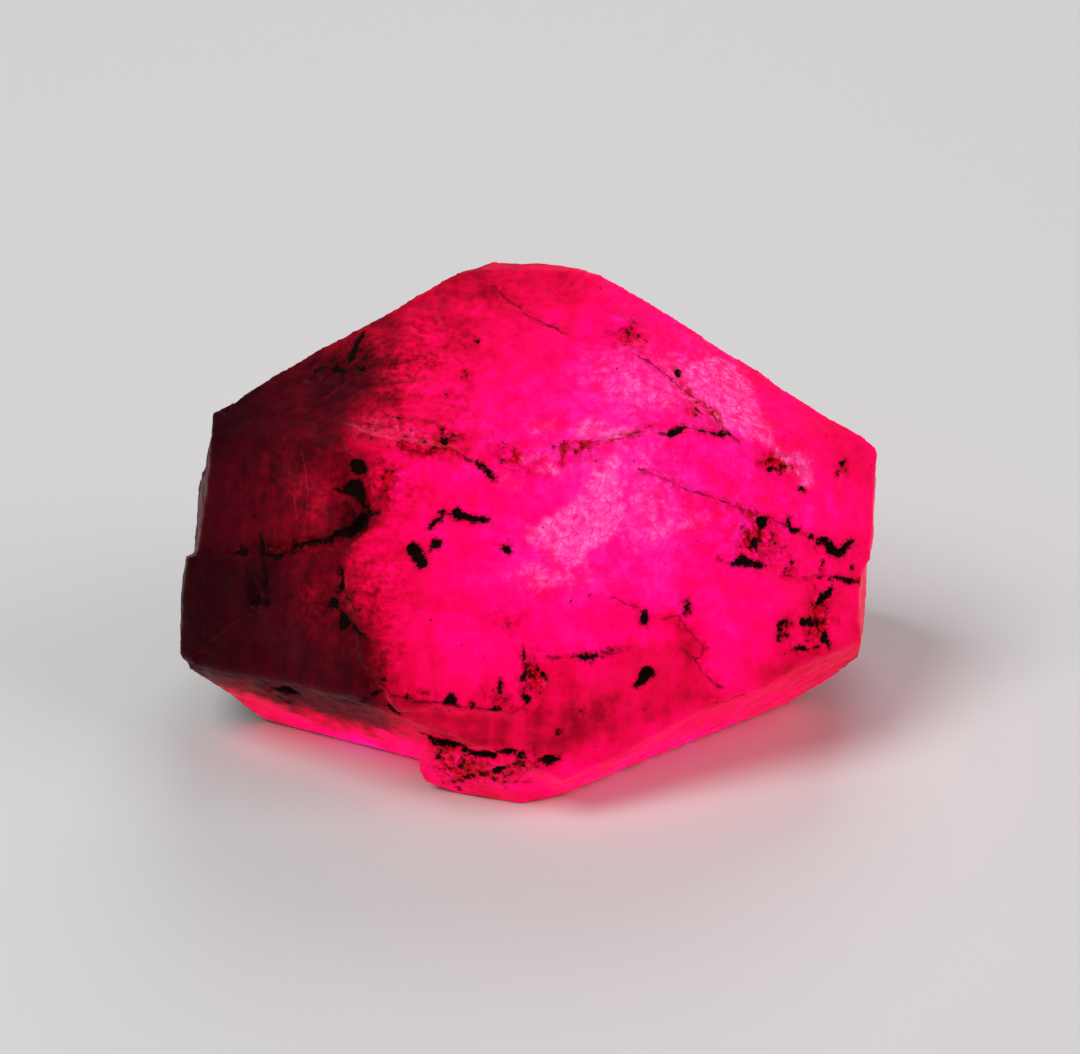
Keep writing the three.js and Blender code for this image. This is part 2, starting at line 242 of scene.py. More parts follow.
def cloud(middle, reach, turn=0):
    """A soft elliptical patch of the picture, 1 at its middle."""
    turned = math.radians(turn)
    away = in_picture - np.array(middle)
    along = (away[:, 0] * math.cos(turned) + away[:, 1] * math.sin(turned)) / reach[0]
    across = (away[:, 1] * math.cos(turned) - away[:, 0] * math.sin(turned)) / reach[1]
    return np.exp(-(along ** 2 + across ** 2))


def strongest(patches):
    return np.max([share * cloud(middle, reaches, turn) for middle, reaches, turn, share in patches], axis=0)


def within(outline, soft):
    """1 inside an outline of pixels and 0 outside it, with an edge some pixels soft."""
    nearest = np.full(len(in_picture), np.inf)
    inside = np.zeros(len(in_picture), dtype=bool)
    corners = np.array(outline, dtype=float)
    for start, end in zip(corners, np.roll(corners, -1, axis=0)):
        along = end - start
        share = np.clip((in_picture - start) @ along / (along @ along), 0, 1)
        arm = in_picture - start - share[:, None] * along
        nearest = np.minimum(nearest, np.linalg.norm(arm, axis=1))
        if start[1] != end[1]:
            level = (in_picture[:, 1] - start[1]) / along[1]
            inside ^= (level >= 0) & (level < 1) & (in_picture[:, 0] < start[0] + level * along[0])
    return 1 / (1 + np.exp(-np.where(inside, nearest, -nearest) / soft))


# Black mica in the pits, as strokes of (x, y, radius).
GRAINS = [
    [(359, 467, 9)],
    [(337, 487, 1), (347, 487, 5), (356, 489, 8.5), (361, 500, 5), (365, 506, 3)],
    [(379, 512, 1), (370, 515, 4), (360, 523, 6), (348, 533, 5), (332, 539, 2)],
    [(240, 550, 5), (246, 553, 3)],
    [(261, 536, 1.5), (261, 545, 3), (264, 553, 4), (281, 554, 4.5), (295, 549, 3.5), (296, 539, 1.5)],
    [(299, 545, 2), (316, 541, 2.2), (332, 539, 2.5)],
    [(262, 562, 1), (268, 580, 1.5), (266, 592, 2)],
    [(251, 604, 1.5), (259, 599, 4.5), (268, 602, 2.5)],
    [(335, 603, 6), (327, 604, 1.5)],
    [(345, 623, 6), (342, 613, 2.5)],
    [(352, 629, 2.5), (361, 635, 2)],
    [(341, 568, 1), (342, 582, 2), (339, 592, 1.5)],
    [(271, 688, 2.5), (284, 689, 4), (297, 691, 2.5)],
    [(280, 697, 1.5), (291, 703, 2)],
    [(376, 695, 3), (383, 693, 1.5)],
    [(398, 712, 6), (391, 706, 2)],
    [(364, 702, 2)],
    [(407, 697, 2)],
    [(383, 679, 2)],
    [(456, 515, 5.5), (466, 518, 3.5), (478, 520, 3), (488, 521, 2)],
    [(444, 512, 2.5), (436, 519, 2), (429, 526, 2.5)],
    [(414, 549, 7), (418, 556, 7), (422, 565, 5)],
    [(435, 545, 5.5)],
    [(506, 548, 3.5), (502, 547, 1.5)],
    [(647, 673, 7), (643, 679, 5), (637, 685, 2.5)],
    [(687, 598, 1), (687, 611, 3.5)],
    [(644, 613, 1.5), (646, 621, 4)],
    [(674, 369, 1.5), (679, 375, 4.5)],
    [(670, 435, 2.5), (678, 430, 3.5), (685, 427, 2)],
    [(700, 431, 1), (722, 433, 2.2), (730, 434, 2.5)],
    [(762, 520, 5.5), (760, 529, 2.5)],
    [(768, 517, 2.5)],
    [(753, 541, 3), (757, 549, 2.5)],
    [(747, 546, 1.5)],
    [(772, 533, 1.5), (775, 541, 1.5)],
    [(720, 560, 1.2)],
    [(731, 563, 1.5), (742, 561, 4.5), (757, 563, 3.5), (766, 566, 1.2)],
    [(789, 516, 1.5), (787, 523, 2), (792, 529, 2), (799, 530, 1.2)],
    [(812, 536, 1.5), (824, 542, 3.5), (831, 550, 5), (838, 552, 5.5), (848, 544, 3.5), (852, 540, 1.5)],
    [(821, 562, 1), (821, 575, 1.5)],
    [(785, 572, 2), (791, 564, 1.2)],
    [(852, 567, 1.8)],
    [(831, 579, 1), (845, 580, 2.5), (859, 583, 1)],
    [(832, 589, 2.5), (824, 596, 5), (817, 603, 3)],
    [(787, 618, 1.2), (780, 627, 3), (779, 637, 2.5), (789, 638, 1.2)],
    [(802, 620, 2), (812, 621, 5), (819, 625, 2.5)],
    [(823, 630, 2), (824, 640, 4.5), (829, 646, 1.5)],
    [(792, 649, 1.2), (806, 648, 2.2), (817, 649, 1.2)],
    [(843, 466, 3.5), (847, 461, 1.5)],
    [(836, 474, 1.6)],
    [(801, 490, 2.2)],
    [(768, 471, 1.5), (774, 467, 2.5), (780, 473, 2.2)],
    [(523, 646, 1), (526, 661, 1.5)],
    [(523, 678, 3.5), (531, 671, 1.2)],
    [(521, 690, 1.6), (528, 701, 2.6)],
    [(538, 671, 2), (546, 677, 1.2)],
    [(500, 681, 1), (500, 692, 3)],
    [(571, 658, 1.2), (591, 658, 2.8), (597, 656, 1.2)],
    [(451, 700, 4.5), (445, 703, 1.5)],
    [(471, 705, 2.6)],
    [(488, 709, 1.2), (500, 709, 2.6)],
    [(424, 734, 1.2), (440, 742, 3.5), (462, 744, 2.5), (471, 753, 4), (494, 755, 3.5)],
    [(496, 751, 1.8), (511, 749, 2), (522, 755, 3.2), (523, 766, 2.2)],
    [(465, 755, 2.5), (460, 767, 1.5)],
    [(499, 772, 5.5), (506, 767, 2)],
    [(472, 776, 3.5), (465, 779, 1.5)],
    [(510, 772, 1.2), (508, 781, 1.2)],
    [(541, 760, 2.5), (550, 761, 6), (557, 759, 2.5)],
    [(438, 757, 2.8)],
    [(445, 770, 1.6)],
    [(459, 788, 1.6)],
    [(558, 730, 2.2)],
    [(364, 332, 1.5), (356, 347, 3.5), (350, 359, 3.5)],
    [(331, 370, 1.5), (342, 371, 5)],
    [(361, 369, 4)],
    [(318, 368, 2.5), (326, 366, 1.5)],
    [(477, 342, 2.4)],
    [(471, 462, 1), (484, 467, 2.4), (494, 475, 2.2)],
    [(442, 430, 1.2), (444, 443, 1.8)],
]

# Dark lines, as the same kind of strokes: cracks, and the torn edges of plates.
CRACKS = [
    [(494, 286, 0.6), (511, 301, 1.2), (528, 315, 1.5), (545, 323, 1.2), (557, 327, 1), (568, 335, 0.6)],
    [(640, 356, 0.6), (654, 366, 0.8), (674, 382, 1.2), (700, 400, 1.6), (715, 417, 1.8), (730, 434, 2),
     (741, 441, 1)],
    [(640, 469, 0.8), (663, 478, 1.8), (686, 488, 1.6), (716, 499, 1), (741, 508, 1.2), (760, 517, 1.2)],
    [(760, 517, 1.2), (778, 523, 1.2), (811, 536, 0.8)],
    [(782, 576, 0.8), (800, 577, 1.3), (824, 576, 1.3)],
    [(225, 556, 0.8), (240, 551, 1.5)],
    [(296, 537, 1.2), (322, 537, 1.6), (349, 540, 2)],
    [(260, 419, 1), (290, 418, 1.6), (315, 419, 1.8), (322, 432, 1.6), (327, 448, 1.2)],
    [(340, 431, 0.8), (347, 452, 1), (352, 460, 0.8)],
    [(400, 448, 1), (411, 453, 1.3), (429, 453, 1.3), (446, 446, 1.2), (459, 452, 1.4), (471, 462, 1)],
    [(503, 443, 1.1), (515, 448, 1), (518, 459, 1.1), (530, 473, 0.8)],
    [(561, 447, 1), (575, 443, 1.3), (592, 442, 1), (620, 438, 1), (640, 430, 1.3), (670, 435, 1.3)],
    [(562, 446, 1), (562, 462, 1)],
    [(684, 429, 0.8), (706, 430, 1), (729, 434, 1.3)],
    [(342, 582, 1), (350, 606, 1.2), (356, 628, 1), (366, 650, 1), (371, 672, 1.1), (377, 693, 1)],
    [(354, 637, 0.8), (357, 659, 0.9)],
    [(381, 646, 0.8), (383, 683, 0.9)],
    [(382, 690, 1), (394, 696, 1), (409, 700, 1.3), (445, 704, 1.5), (465, 706, 1.3), (487, 710, 1.4)],
    [(487, 710, 1.4), (513, 714, 1.6), (530, 702, 0.9)],
    [(547, 657, 1), (560, 657, 1)],
    [(603, 652, 1), (618, 652, 0.8)],
    [(614, 599, 0.9), (630, 606, 0.9), (645, 614, 1.2)],
    [(661, 619, 0.8), (677, 617, 1.2), (693, 634, 1.3), (702, 648, 1.2), (701, 659, 1), (690, 660, 0.8)],
    [(683, 648, 0.9), (692, 660, 0.9), (709, 678, 0.8), (722, 690, 0.5)],
    [(712, 704, 0.7), (725, 702, 1), (743, 695, 0.8)],
    [(516, 783, 1.2), (526, 782, 1)],
    [(303, 336, 0.8), (330, 352, 1), (346, 366, 1)],
]

# Patches of crumbs of mica: middle, reach, turn in degrees and thickness.
CRUMBS = [
    ((758, 540), (24, 22), 0, 1.0),
    ((818, 618), (15, 34), 10, 1.0),
    ((786, 628), (8, 14), 0, 0.7),
    ((806, 650), (22, 5), 0, 0.7),
    ((830, 549), (26, 10), 15, 0.6),
    ((790, 566), (10, 14), 0, 0.6),
    ((775, 464), (22, 12), 15, 0.9),
    ((845, 467), (14, 8), 0, 0.6),
    ((700, 416), (34, 7), 45, 0.6),
    ((470, 770), (40, 13), 8, 1.1),
    ((445, 752), (20, 14), 0, 0.9),
    ((520, 766), (28, 12), 0, 0.8),
    ((534, 674), (13, 24), 0, 0.9),
    ((505, 703), (32, 8), 8, 0.7),
    ((420, 700), (34, 8), 5, 0.6),
    ((592, 655), (36, 5), -5, 0.7),
    ((508, 620), (20, 14), 0, 0.45),
    ((428, 443), (42, 15), 0, 0.7),
    ((512, 462), (34, 14), 20, 0.65),
    ((395, 425), (36, 18), 10, 0.55),
    ((578, 450), (22, 12), -10, 0.75),
    ((636, 436), (34, 6), -5, 0.6),
    ((628, 335), (26, 22), 20, 0.6),
    ((385, 484), (16, 18), 0, 0.85),
    ((352, 520), (18, 26), 0, 0.9),
    ((345, 480), (18, 16), 0, 0.6),
    ((275, 550), (44, 9), 0, 0.9),
    ((258, 585), (14, 26), 0, 0.8),
    ((348, 612), (12, 34), 0, 0.8),
    ((374, 690), (26, 18), 0, 0.7),
    ((285, 692), (22, 8), 10, 0.9),
    ((352, 360), (30, 34), 20, 0.7),
    ((318, 368), (26, 7), 0, 0.7),
    ((565, 290), (26, 9), 0, 0.4),
    ((595, 712), (24, 16), -20, 0.5),
    ((687, 608), (8, 9), 0, 0.7),
    ((646, 618), (8, 9), 0, 0.6),
    ((469, 376), (7, 18), 0, 0.6),
    ((455, 405), (26, 12), 30, 0.45),
]

# Where the stone is torn and feathery, so that its painted glow is uneven: middle, reach, turn and share.
TORN = [
    ((400, 368), (80, 44), -25, 1.0),
    ((425, 430), (70, 26), 5, 1.0),
    ((392, 488), (32, 36), 0, 1.0),
    ((374, 600), (34, 90), 0, 0.8),
    ((290, 480), (60, 60), 0, 0.7),
    ((310, 605), (44, 60), 0, 0.8),
    ((540, 455), (60, 16), -12, 0.6),
    ((750, 530), (60, 50), 0, 0.4),
    ((560, 712), (110, 26), 0, 0.12),
    ((705, 395), (55, 24), 42, 0.5),
    ((480, 768), (90, 20), 0, 0.6),
    ((720, 735), (120, 16), -20, 0.7),
    ((480, 300), (90, 30), -10, 0.4),
]

# Thin pale healed threads, as strokes, painted as lighter glow.
THREADS = [
    [(301, 453, 0.5), (306, 480, 1), (308, 516, 0.5)],
    [(295, 492, 0.4), (296, 522, 0.4)],
    [(327, 398, 0.5), (347, 382, 0.8)],
    [(344, 409, 0.6), (357, 391, 0.6)],
    [(400, 398, 0.4), (417, 381, 0.6)],
    [(654, 374, 0.9), (676, 387, 0.9)],
    [(350, 452, 0.5), (363, 461, 0.6)],
    [(430, 762, 0.4), (446, 776, 0.6), (462, 785, 0.4)],
    [(596, 776, 0.6), (640, 757, 0.9), (700, 735, 0.9), (760, 712, 0.9), (800, 697, 0.5)],
    [(640, 768, 0.5), (690, 748, 0.8), (730, 731, 0.6)],
    [(660, 742, 0.4), (700, 728, 0.6), (740, 712, 0.5)],
    [(206, 690, 0.5), (250, 712, 0.8), (310, 737, 1), (362, 748, 0.8)],
]

# Pale veils of healed cracks: the sharp-edged ones as an outline and a share, the rest as soft
# patches with a middle, reach, turn and share.
VEIL_EDGE_PIXELS = 1.6
SHARP_VEILS = [
    ([(612, 452), (620, 465), (622, 507), (627, 522), (624, 534), (608, 546), (585, 550), (584, 568),
      (559, 560), (547, 549), (532, 543), (522, 532), (526, 525), (551, 516), (572, 504), (580, 490),
      (593, 473)], 1.0),
    ([(664, 368), (686, 360), (712, 358), (738, 366), (752, 384), (760, 421), (780, 448), (802, 457),
      (815, 478), (801, 489), (782, 464), (768, 447), (741, 439), (716, 420), (693, 396),
      (678, 383)], 0.85),
    ([(566, 428), (585, 422), (612, 427), (634, 430), (626, 436), (614, 442), (590, 438)], 1.1),
    ([(536, 472), (548, 466), (568, 470), (570, 474), (550, 475)], 1.0),
]
SOFT_VEILS = [
    ((700, 385), (36, 16), 42, 0.7),
    ((550, 577), (38, 11), 5, 0.7),
    ((640, 385), (46, 24), 15, 0.75),
    ((535, 459), (16, 8), -15, 0.6),
    ((543, 430), (10, 6), 15, 0.5),
    ((650, 500), (30, 44), 0, 0.4),
    ((670, 525), (36, 12), -20, 0.4),
    ((610, 470), (34, 40), -30, 0.35),
    ((508, 486), (12, 5), 0, 0.45),
    ((730, 350), (50, 10), 30, 0.35),
    ((395, 430), (40, 10), 10, 0.3),
]

# The painted glow stands in for the lamp light that shines up through the stone: it fades with
# distance from its brightest place. Less of it is painted on the parted plates on the left and the
# broken foot, and more on the thin rim. Painted shade has an outline, the softness of its edge and a
# share; painted shadows and painted light patches have a middle, reach, turn and share. On the sides
# that the camera doesn't see, the painted light comes from BRIGHT_SIDE.
BRIGHTEST = (622, 480)
GLOW = 0.98
GLOW_NEAR_MM = 5
GLOW_FADE_MM = 58
BRIGHT_SIDE = (0.5, 0.0, 0.87)
FACET_SHADE = 0.34
HIDDEN_LEFT_SHADE = 0.55
STRIP_LIGHT = 0.62
STRIP_EDGE_PIXELS = 2
PARTED_LEFT = [(150, 300), (322, 352), (338, 384), (348, 432), (372, 470), (380, 512), (352, 543),
               (342, 580), (350, 612), (364, 640), (374, 690), (392, 735), (345, 725), (300, 712),
               (240, 688), (205, 677), (150, 670)]
LOWER_LEFT = [(150, 553), (262, 556), (350, 546), (342, 580), (350, 612), (364, 640), (374, 690),
              (392, 735), (345, 725), (300, 712), (240, 688), (205, 677), (150, 670)]
FOOT = [(386, 697), (409, 702), (445, 706), (513, 716), (531, 704), (546, 660), (598, 660), (642, 648),
        (668, 640), (700, 664), (722, 700), (654, 719), (598, 736), (560, 762), (523, 752), (471, 748),
        (430, 738), (392, 728)]
FOOT_WEDGE = [(566, 696), (598, 690), (618, 714), (656, 717), (600, 735), (560, 757), (516, 748),
              (548, 738)]
FLAKE = [(661, 618), (677, 616), (693, 634), (703, 648), (701, 660), (690, 660), (681, 646), (670, 630)]
STRIP = [(203, 678), (240, 689), (300, 713), (345, 726), (392, 740), (425, 750), (400, 775), (150, 740),
         (170, 690)]
SHADED = [
    (PARTED_LEFT, 7, 0.55),
    (LOWER_LEFT, 4, 0.36),
    (FOOT, 3, 0.24),
    (FOOT_WEDGE, 7, 0.12),
    (FLAKE, 2, 0.3),
]
SHADOWS = [
    ((212, 405), (78, 66), -20, 0.72),
    ((344, 388), (40, 36), -30, 0.62),
    ((185, 600), (80, 140), 0, 0.55),
    ((425, 325), (95, 75), -30, 0.26),
    ((366, 366), (34, 44), 20, 0.34),
    ((400, 415), (50, 18), 10, 0.16),
    ((540, 272), (90, 34), 0, 0.2),
    ((374, 640), (16, 66), -6, 0.34),
    ((384, 684), (26, 24), 0, 0.25),
    ((408, 590), (22, 60), 0, 0.12),
    ((440, 446), (40, 12), 0, 0.2),
    ((805, 662), (60, 18), -20, 0.16),
    ((350, 524), (24, 18), -30, 0.5),
    ((258, 590), (16, 24), 0, 0.35),
    ((393, 322), (10, 8), 0, 0.3),
    ((378, 320), (8, 6), 0, 0.3),
    ((595, 712), (18, 12), -20, 0.08),
    ((430, 500), (26, 12), 20, 0.1),
]
BRIGHTENED = [
    ((315, 590), (26, 46), 0, 0.12),
    ((606, 690), (40, 34), 0, 0.12),
    ((480, 772), (70, 20), 0, 0.13),
    ((262, 705), (60, 14), 22, 0.22),
    ((362, 742), (56, 18), 10, 0.45),
    ((700, 742), (150, 12), -20, 0.2),
    ((820, 505), (40, 26), 0, 0.06),
    ((465, 640), (40, 50), 0, 0.06),
    ((322, 508), (30, 26), 0, 0.12),
]

# Painted glow, brightest just under BRIGHTEST and fading with distance from it.
glow_middle = on_stone(*BRIGHTEST) - towards_camera * GLOW_NEAR_MM
from_middle = np.linalg.norm(spots - glow_middle, axis=1)
lit = GLOW * np.exp(-np.maximum(from_middle - GLOW_NEAR_MM, 0) / GLOW_FADE_MM)
# Painted shade inside the outlines and clouds, and painted light in the brightened patches.
for outline, soft, share in SHADED:
    lit *= 1 - share * facing * within(outline, soft)
for middle, reaches, turn, share in SHADOWS:
    lit *= 1 - share * facing * cloud(middle, reaches, turn)
for middle, reaches, turn, gain in BRIGHTENED:
    lit += gain * facing * cloud(middle, reaches, turn)
# Painted shade on the hidden left side and on hidden facets turned away from BRIGHT_SIDE.
hidden_left = spots[:, 0] + 7 * wander(spots, 11, 5) + 2 * wander(spots, 2.5, 15)
lit *= 1 - HIDDEN_LEFT_SHADE * (1 - facing) * (1 - steps(hidden_left, -24, -6))
turned_away = 0.5 - 0.5 * outward @ np.array(BRIGHT_SIDE)
lit *= 1 - FACET_SHADE * (1 - facing) * turned_away
# A painted light strip along the thin rim.
lit = np.maximum(lit, facing * within(STRIP, STRIP_EDGE_PIXELS) * STRIP_LIGHT)

# The hidden sides carry mica, cracks and veils of the same kinds, strewn by a seeded chance.
HIDDEN_SEED = 11
HIDDEN_GRAINS = 100
HIDDEN_CRACKS = 18
HIDDEN_VEILS = 12
HIDDEN_CRUMBS = 34
GRAIN_RADII_MM = [0.12, 0.2, 0.3, 0.55]
GRAIN_STRIDE_MM = 0.8
GRAIN_BEND = 0.7
CRACK_RADIUS_MM = 0.1
CRACK_STRIDE_MM = 2.2
CRACK_BEND = 0.25
VEIL_REACHES_MM = (2.5, 6)
CRUMB_REACHES_MM = (0.8, 2.2)
chance = np.random.default_rng(HIDDEN_SEED)
hidden = np.flatnonzero((seen < -0.1) & (spots[:, 2] > 1))


def walk(count, stride, radius, bend):
    """A wandering stroke on a hidden side: count points, a stride apart."""
    place = spots[chance.choice(hidden)]
    heading = chance.normal(size=3)
    line = []
    for _ in range(count):
        nearest, normal, _, _ = sight_tree.find_nearest(Vector(place))
        line.append((np.array(nearest), radius * chance.uniform(0.5, 1.3)))
        heading = heading + chance.normal(size=3) * bend
        heading -= np.array(normal) * (heading @ np.array(normal))
        heading /= np.linalg.norm(heading)
        place = line[-1][0] + heading * stride
    return line


hidden_grains = [walk(chance.integers(1, 5), GRAIN_STRIDE_MM, chance.choice(GRAIN_RADII_MM), GRAIN_BEND)
                 for _ in range(HIDDEN_GRAINS)]
hidden_cracks = [walk(chance.integers(4, 9), CRACK_STRIDE_MM, CRACK_RADIUS_MM, CRACK_BEND)
                 for _ in range(HIDDEN_CRACKS)]
grain_gap, _ = gaps([laid(stroke) for stroke in GRAINS] + hidden_grains)
crack_gap, crack_side = gaps([laid(stroke) for stroke in CRACKS] + hidden_cracks)
thread_gap, thread_side = gaps([laid(stroke) for stroke in THREADS])

crumbs = facing * strongest(CRUMBS)
veil = facing * sum(share * cloud(middle, reaches, turn) for middle, reaches, turn, share in SOFT_VEILS)
for outline, share in SHARP_VEILS:
    veil = np.maximum(veil, facing * share * within(outline, VEIL_EDGE_PIXELS))
for place in spots[chance.choice(hidden, HIDDEN_VEILS)]:
    away = np.linalg.norm(jagged_spots - place, axis=1)
    veil += (1 - facing) * 0.8 * np.exp(-(away / chance.uniform(*VEIL_REACHES_MM)) ** 2)
lopsided = 1 + 0.75 * wander(spots, 1.9, 51)
for place in spots[chance.choice(hidden, HIDDEN_CRUMBS)]:
    away = np.linalg.norm(jagged_spots - place, axis=1) * lopsided
    crumbs += (1 - facing) * 0.9 * np.exp(-(away / chance.uniform(*CRUMB_REACHES_MM)) ** 2)
veil = np.clip(veil, 0, 1.1)
torn = facing * strongest(TORN)
torn += (1 - facing) * (0.4 + 0.4 * wander(spots, 8, 33))

# Fine relief: wear, growth striations on the upright faces, torn ground along cracks, mica pits.
WEAR_MM = 0.07
FINE_WEAR_MM = 0.045
GRIT_MM = 0.02
TERRACE_MM = 0.07
STRIATION_MM = 0.028
PIT_MM = 0.2
GROOVE_MM = 0.12
TORN_MM = 0.1
CRUMB_MM = 0.16

upright = 1 - np.abs(outward[:, 2])
striations = wander(spots * np.array((1, 1, 0.1)), 0.6, 80)
relief = WEAR_MM * wander(spots, 3.6, 7) + FINE_WEAR_MM * wander(spots, 1.5)
relief += GRIT_MM * wander(spots, 0.6, 40)
terraces = 4 * wander(spots, 7, 25) + 0.5 * wander(spots, 1.4, 66)
relief += TERRACE_MM * (terraces - np.floor(terraces))
relief += STRIATION_MM * upright * striations * (0.5 + 0.5 * wander(spots, 5, 12))
relief -= PIT_MM * (1 - steps(grain_gap, -0.2, 0.12))
relief -= GROOVE_MM * (1 - steps(crack_gap, -0.05, 0.22))
relief -= TORN_MM * (1 - steps(crack_gap, 0, 1.3)) * np.abs(wander(spots, 0.8, 60))
relief -= CRUMB_MM * np.clip(crumbs, 0, 1) * np.abs(wander(spots, 0.7, 90))
relief *= steps(spots[:, 2], 0.1, BASE_KEEP_MM)
shaped = (spots + outward * relief[:, None]) * MM
shaped = np.clip(shaped, np.array(frame_low), np.array(frame_high))
skin.vertices.foreach_set("co", shaped.ravel())

marks = {
    "lit": lit,
    "grain": grain_gap,
    "crack": crack_gap,
    "crack_side": crack_side,
    "thread": thread_gap,
    "thread_side": thread_side,
    "crumbs": crumbs,
    "veil": veil,
    "torn": torn,
}
for name, values in marks.items():
    layer = skin.attributes.new(name, "FLOAT", "POINT")
    layer.data.foreach_set("value", values.astype(np.float32))
skin.shade_smooth()
skin.update()

CORUNDUM_IOR = 1.77
ABSORPTION_DENSITY = 260.0

ruby = bpy.data.materials.new("ruby")
ruby.cycles.emission_sampling = "NONE"
ruby.use_nodes = True
tree = ruby.node_tree
finish = tree.nodes["Principled BSDF"]


def put(socket, value):
    """Link a socket to another, or give it a plain value."""
    if isinstance(value, bpy.types.NodeSocket):
        tree.links.new(value, socket)
    else:
        socket.default_value = value


def made(kind, inputs, output, **settings):
    """A new node with its settings and inputs in place; its output socket comes back."""
    node = tree.nodes.new(kind)
    for name, value in settings.items():
        setattr(node, name, value)
    for name, value in inputs.items():
        put(node.inputs[name], value)
    return node.outputs[output]


def maths(operation, first, second, clamp=False):
    return made("ShaderNodeMath", {0: first, 1: second}, 0, operation=operation, use_clamp=clamp)


def fade(value, low, high, at_low=0.0, at_high=1.0):
    """A smooth change from one value to another as the input goes from low to high."""
    inputs = {"Value": value, "From Min": low, "From Max": high, "To Min": at_low, "To Max": at_high}
    return made("ShaderNodeMapRange", inputs, "Result", interpolation_type="SMOOTHSTEP")


def mark(name):
    return made("ShaderNodeAttribute", {}, "Fac", attribute_name=name)


def mottle(size, detail=4.0, roughness=0.55, place=None):
    """Cloudy noise from 0 to 1, of a size in mm."""
    inputs = {"Vector": place or in_mm, "Scale": 1 / size, "Detail": detail, "Roughness": roughness}
    return made("ShaderNodeTexNoise", inputs, "Fac")


def swing(share, *noise_settings, **more):
    """Noise around zero, from about minus to plus half a share."""
    return maths("MULTIPLY", maths("SUBTRACT", mottle(*noise_settings, **more), 0.5), share)


def hairline(side, half_width):
    """A thin, uneven line where the distance to a side passes through zero, in mm."""
    uneven = maths("ADD", mark(side), swing(0.3, 0.5, 2, 0.65))
    away = made("ShaderNodeMath", {0: uneven}, 0, operation="ABSOLUTE")
    width = fade(mottle(0.9, 2), 0.35, 0.65, half_width * 0.3, half_width * 2.2)
    return fade(maths("DIVIDE", away, width), 0.6, 1.5, 1.0, 0.0)


def blend(share, first, second, kind="MIX"):
    inputs = {"Fac": share, "Color1": first, "Color2": second}
    return made("ShaderNodeMixRGB", inputs, "Color", blend_type=kind)


def ramp(value, stops):
    node = tree.nodes.new("ShaderNodeValToRGB")
    put(node.inputs["Fac"], value)
    colours = node.color_ramp.elements
    while len(colours) < len(stops):
        colours.new(1)
    for colour, (place, rgb) in zip(colours, stops):
        colour.position = place
        colour.color = (*rgb, 1)
    return node.outputs["Color"]


def drawn_out(turn, stretch):
    """The place on the stone, turned and stretched, so that noise laid on it becomes streaks."""
    inputs = {"Vector": in_mm, "Rotation": turn, "Scale": stretch}
    return made("ShaderNodeMapping", inputs, "Vector")


to_mm = {0: made("ShaderNodeTexCoord", {}, "Object"), "Scale": 1 / MM}
in_mm = made("ShaderNodeVectorMath", to_mm, "Vector", operation="SCALE")
drawn_up = drawn_out((0, 0, 0), (1, 1, 0.12))
slanted = drawn_out((0, 0.7, 0), (0.18, 1, 1))
feathered = drawn_out((0, -0.8, 0.4), (0.3, 1, 1))

# Cloudy painted glow, the emission that stands in for the lamp light through the stone. Its streaks
# show more where it is dim.
dim = fade(mark("lit"), 0.25, 0.75, 1.0, 0.25)
streaks = maths("ADD", swing(1.0, 1.4, 3, place=drawn_up), swing(0.6, 1.1, 2, place=slanted))
clouds = maths("ADD", swing(0.56, 5.5, 4, 0.62), swing(0.56, 1.5, 4, 0.75))
feathers = maths("ADD", swing(1.7, 1.3, 4, 0.7, place=feathered), swing(1.2, 0.55, 1, 0.7))
unevenness = maths("ADD", maths("ADD", clouds, maths("MULTIPLY", streaks, dim)), 1)
unevenness = maths("ADD", unevenness, maths("MULTIPLY", feathers, mark("torn")))
light = maths("MULTIPLY", mark("lit"), maths("MAXIMUM", unevenness, 0.25))
glow = ramp(light, [
    (0.0, (0.002, 0, 0.0002)),
    (0.1, (0.008, 0.0002, 0.0006)),
    (0.2, (0.042, 0.0003, 0.0024)),
    (0.3, (0.11, 0.0003, 0.0042)),
    (0.38, (0.2, 0.0004, 0.008)),
    (0.46, (0.37, 0.0004, 0.0145)),
    (0.53, (0.52, 0.0004, 0.025)),
    (0.6, (0.7, 0.0004, 0.04)),
    (0.68, (0.83, 0.0003, 0.065)),
    (0.76, (0.93, 0.0002, 0.1)),
    (0.85, (0.97, 0.0002, 0.152)),
    (0.93, (0.96, 0.002, 0.22)),
    (1.0, (0.95, 0.006, 0.3)),
])

# Noise that several marks share: patches, grit, and the raggedness of edges.
patchy = mottle(1.5, 2)
grit = mottle(0.68, 3, 0.63)
ragged = maths("ADD", swing(0.9, 0.8, 3, 0.6), swing(0.5, 0.26, 1))

# Veils: a curdled paleness with white flecks, and a ragged net of fine dark cracks in it. The veils
# are painted as paler glow, shown only where the painted light is strong.
fine_curds = mottle(0.75, 4, 0.68)
twisted = made("ShaderNodeVectorMath", {0: in_mm, 1: fine_curds}, "Vector", operation="ADD")
net = made("ShaderNodeTexVoronoi", {"Vector": twisted, "Scale": 0.95}, "Distance", feature="DISTANCE_TO_EDGE")
net_lines = maths("MULTIPLY", fade(net, 0.0, 0.1, 1.0, 0.0), fade(patchy, 0.4, 0.58, 0.05, 0.85))
curds = maths("MULTIPLY", maths("ADD", fine_curds, patchy), 0.5)
curds = maths("ADD", curds, maths("MULTIPLY", mark("veil"), 0.1))
curds = maths("MULTIPLY", fade(curds, 0.44, 0.64, 0.2, 1.0), maths("SUBTRACT", 1, net_lines))
veiled = maths("MULTIPLY", mark("veil"), curds)
veiled = maths("MULTIPLY", veiled, fade(light, 0.3, 0.75, 0.0, 1.0), clamp=True)
flecks = fade(fine_curds, 0.5, 0.68, 0.0, 0.8)
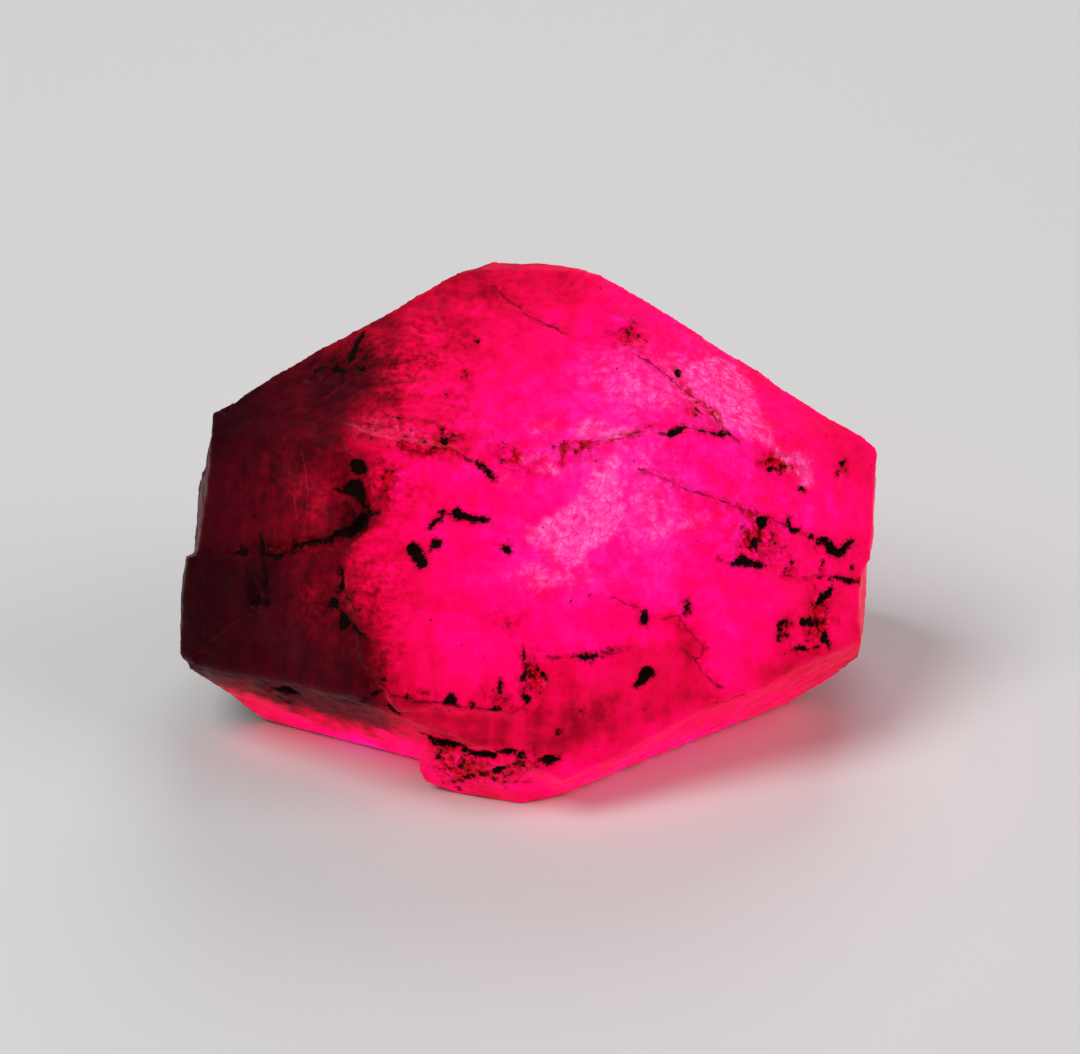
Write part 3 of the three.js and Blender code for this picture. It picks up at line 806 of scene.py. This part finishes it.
pale = blend(veiled, glow, blend(flecks, (0.95, 0.07, 0.4, 1), (0.98, 0.2, 0.56, 1)))
threads = maths("MULTIPLY", hairline("thread_side", 0.05), fade(mark("thread"), 0.1, 0.3, 1.0, 0.0))
lighter = blend(1.0, pale, (0.2, 0.006, 0.03, 1), "ADD")
pale = blend(maths("MULTIPLY", threads, 0.55), pale, lighter)

# A darker, redder colour on the painted glow around the marks, then crumbs, cracks and grains of black.
ragged_grain = maths("ADD", mark("grain"), ragged)
ragged_crack = maths("ADD", mark("crack"), maths("MULTIPLY", ragged, 0.5))
redder_patches = fade(maths("ADD", grit, maths("MULTIPLY", mark("crumbs"), 0.16)), 0.46, 0.63, 0.0, 1.5)
by_cracks = maths("MULTIPLY", fade(ragged_crack, 0.0, 0.7, 1.0, 0.0), maths("ADD", redder_patches, 0.25))
by_cracks = maths("MULTIPLY", by_cracks, fade(mark("torn"), 0.1, 0.5, 0.4, 1.0))
redder_share = maths("MAXIMUM", by_cracks, fade(ragged_grain, 0.0, 0.5, 0.85, 0.0))
redder_share = maths("MAXIMUM", redder_share, maths("MULTIPLY", mark("crumbs"), redder_patches))
redder_tint = blend(maths("MULTIPLY", redder_share, 0.9, clamp=True), (1, 1, 1, 1), (0.46, 0.3, 0.02, 1))
redder_glow = blend(1.0, pale, redder_tint, "MULTIPLY")
crumbled = maths("ADD", grit, maths("MULTIPLY", mark("crumbs"), 0.21))
crumbled = maths("MULTIPLY", fade(crumbled, 0.68, 0.77), 0.9)
parted = maths("MULTIPLY", hairline("crack_side", 0.075), fade(mark("crack"), 0.1, 0.35, 0.85, 0.0))
parted = maths("MULTIPLY", parted, fade(patchy, 0.38, 0.6, 0.45, 1.0))
cracked = blend(parted, redder_glow, (0.06, 0.0, 0.002, 1))
mica = fade(ragged_grain, -0.04, 0.18, 1.0, 0.0)
black = maths("MAXIMUM", mica, crumbled)
shown = blend(black, cracked, (0.002, 0.0, 0.0002, 1))

# Base colour: dark red, painted darker where the painted glow is dim, and black where the mica is.
body = ramp(light, [(0.0, (0.008, 0.0002, 0.001)), (0.4, (0.06, 0.0006, 0.005)), (1.0, (0.14, 0.001, 0.02))])
body = blend(black, body, (0.004, 0.002, 0.002, 1))

put(finish.inputs["Base Color"], body)
# The emission colour is the painted glow with its marks, standing in for the lamp light through the stone.
put(finish.inputs["Emission Color"], shown)
put(finish.inputs["Emission Strength"], 1.0)
worn = fade(patchy, 0.3, 0.7, 0.34, 0.58)
put(finish.inputs["Roughness"], maths("MAXIMUM", worn, maths("MULTIPLY", black, 0.85)))
put(finish.inputs["IOR"], CORUNDUM_IOR)
put(finish.inputs["Specular IOR Level"], 0.025)
put(finish.inputs["Specular Tint"], (1.0, 0.3, 0.4, 1))
put(finish.inputs["Transmission Weight"], 0.04)
bumps = {"Height": mottle(0.35, 1, 0.6), "Strength": 0.2, "Distance": 0.0001}
put(finish.inputs["Normal"], made("ShaderNodeBump", bumps, "Normal"))
absorption = {"Color": (0.7, 0.01, 0.06, 1), "Density": ABSORPTION_DENSITY}
depth = made("ShaderNodeVolumeAbsorption", absorption, "Volume")
put(tree.nodes["Material Output"].inputs["Volume"], depth)

stone = bpy.data.objects.new("ruby_stone", skin)
bpy.context.collection.objects.link(stone)
skin.materials.clear()
skin.materials.append(ruby)
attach(stone, "root")
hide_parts("ruby_crystal")
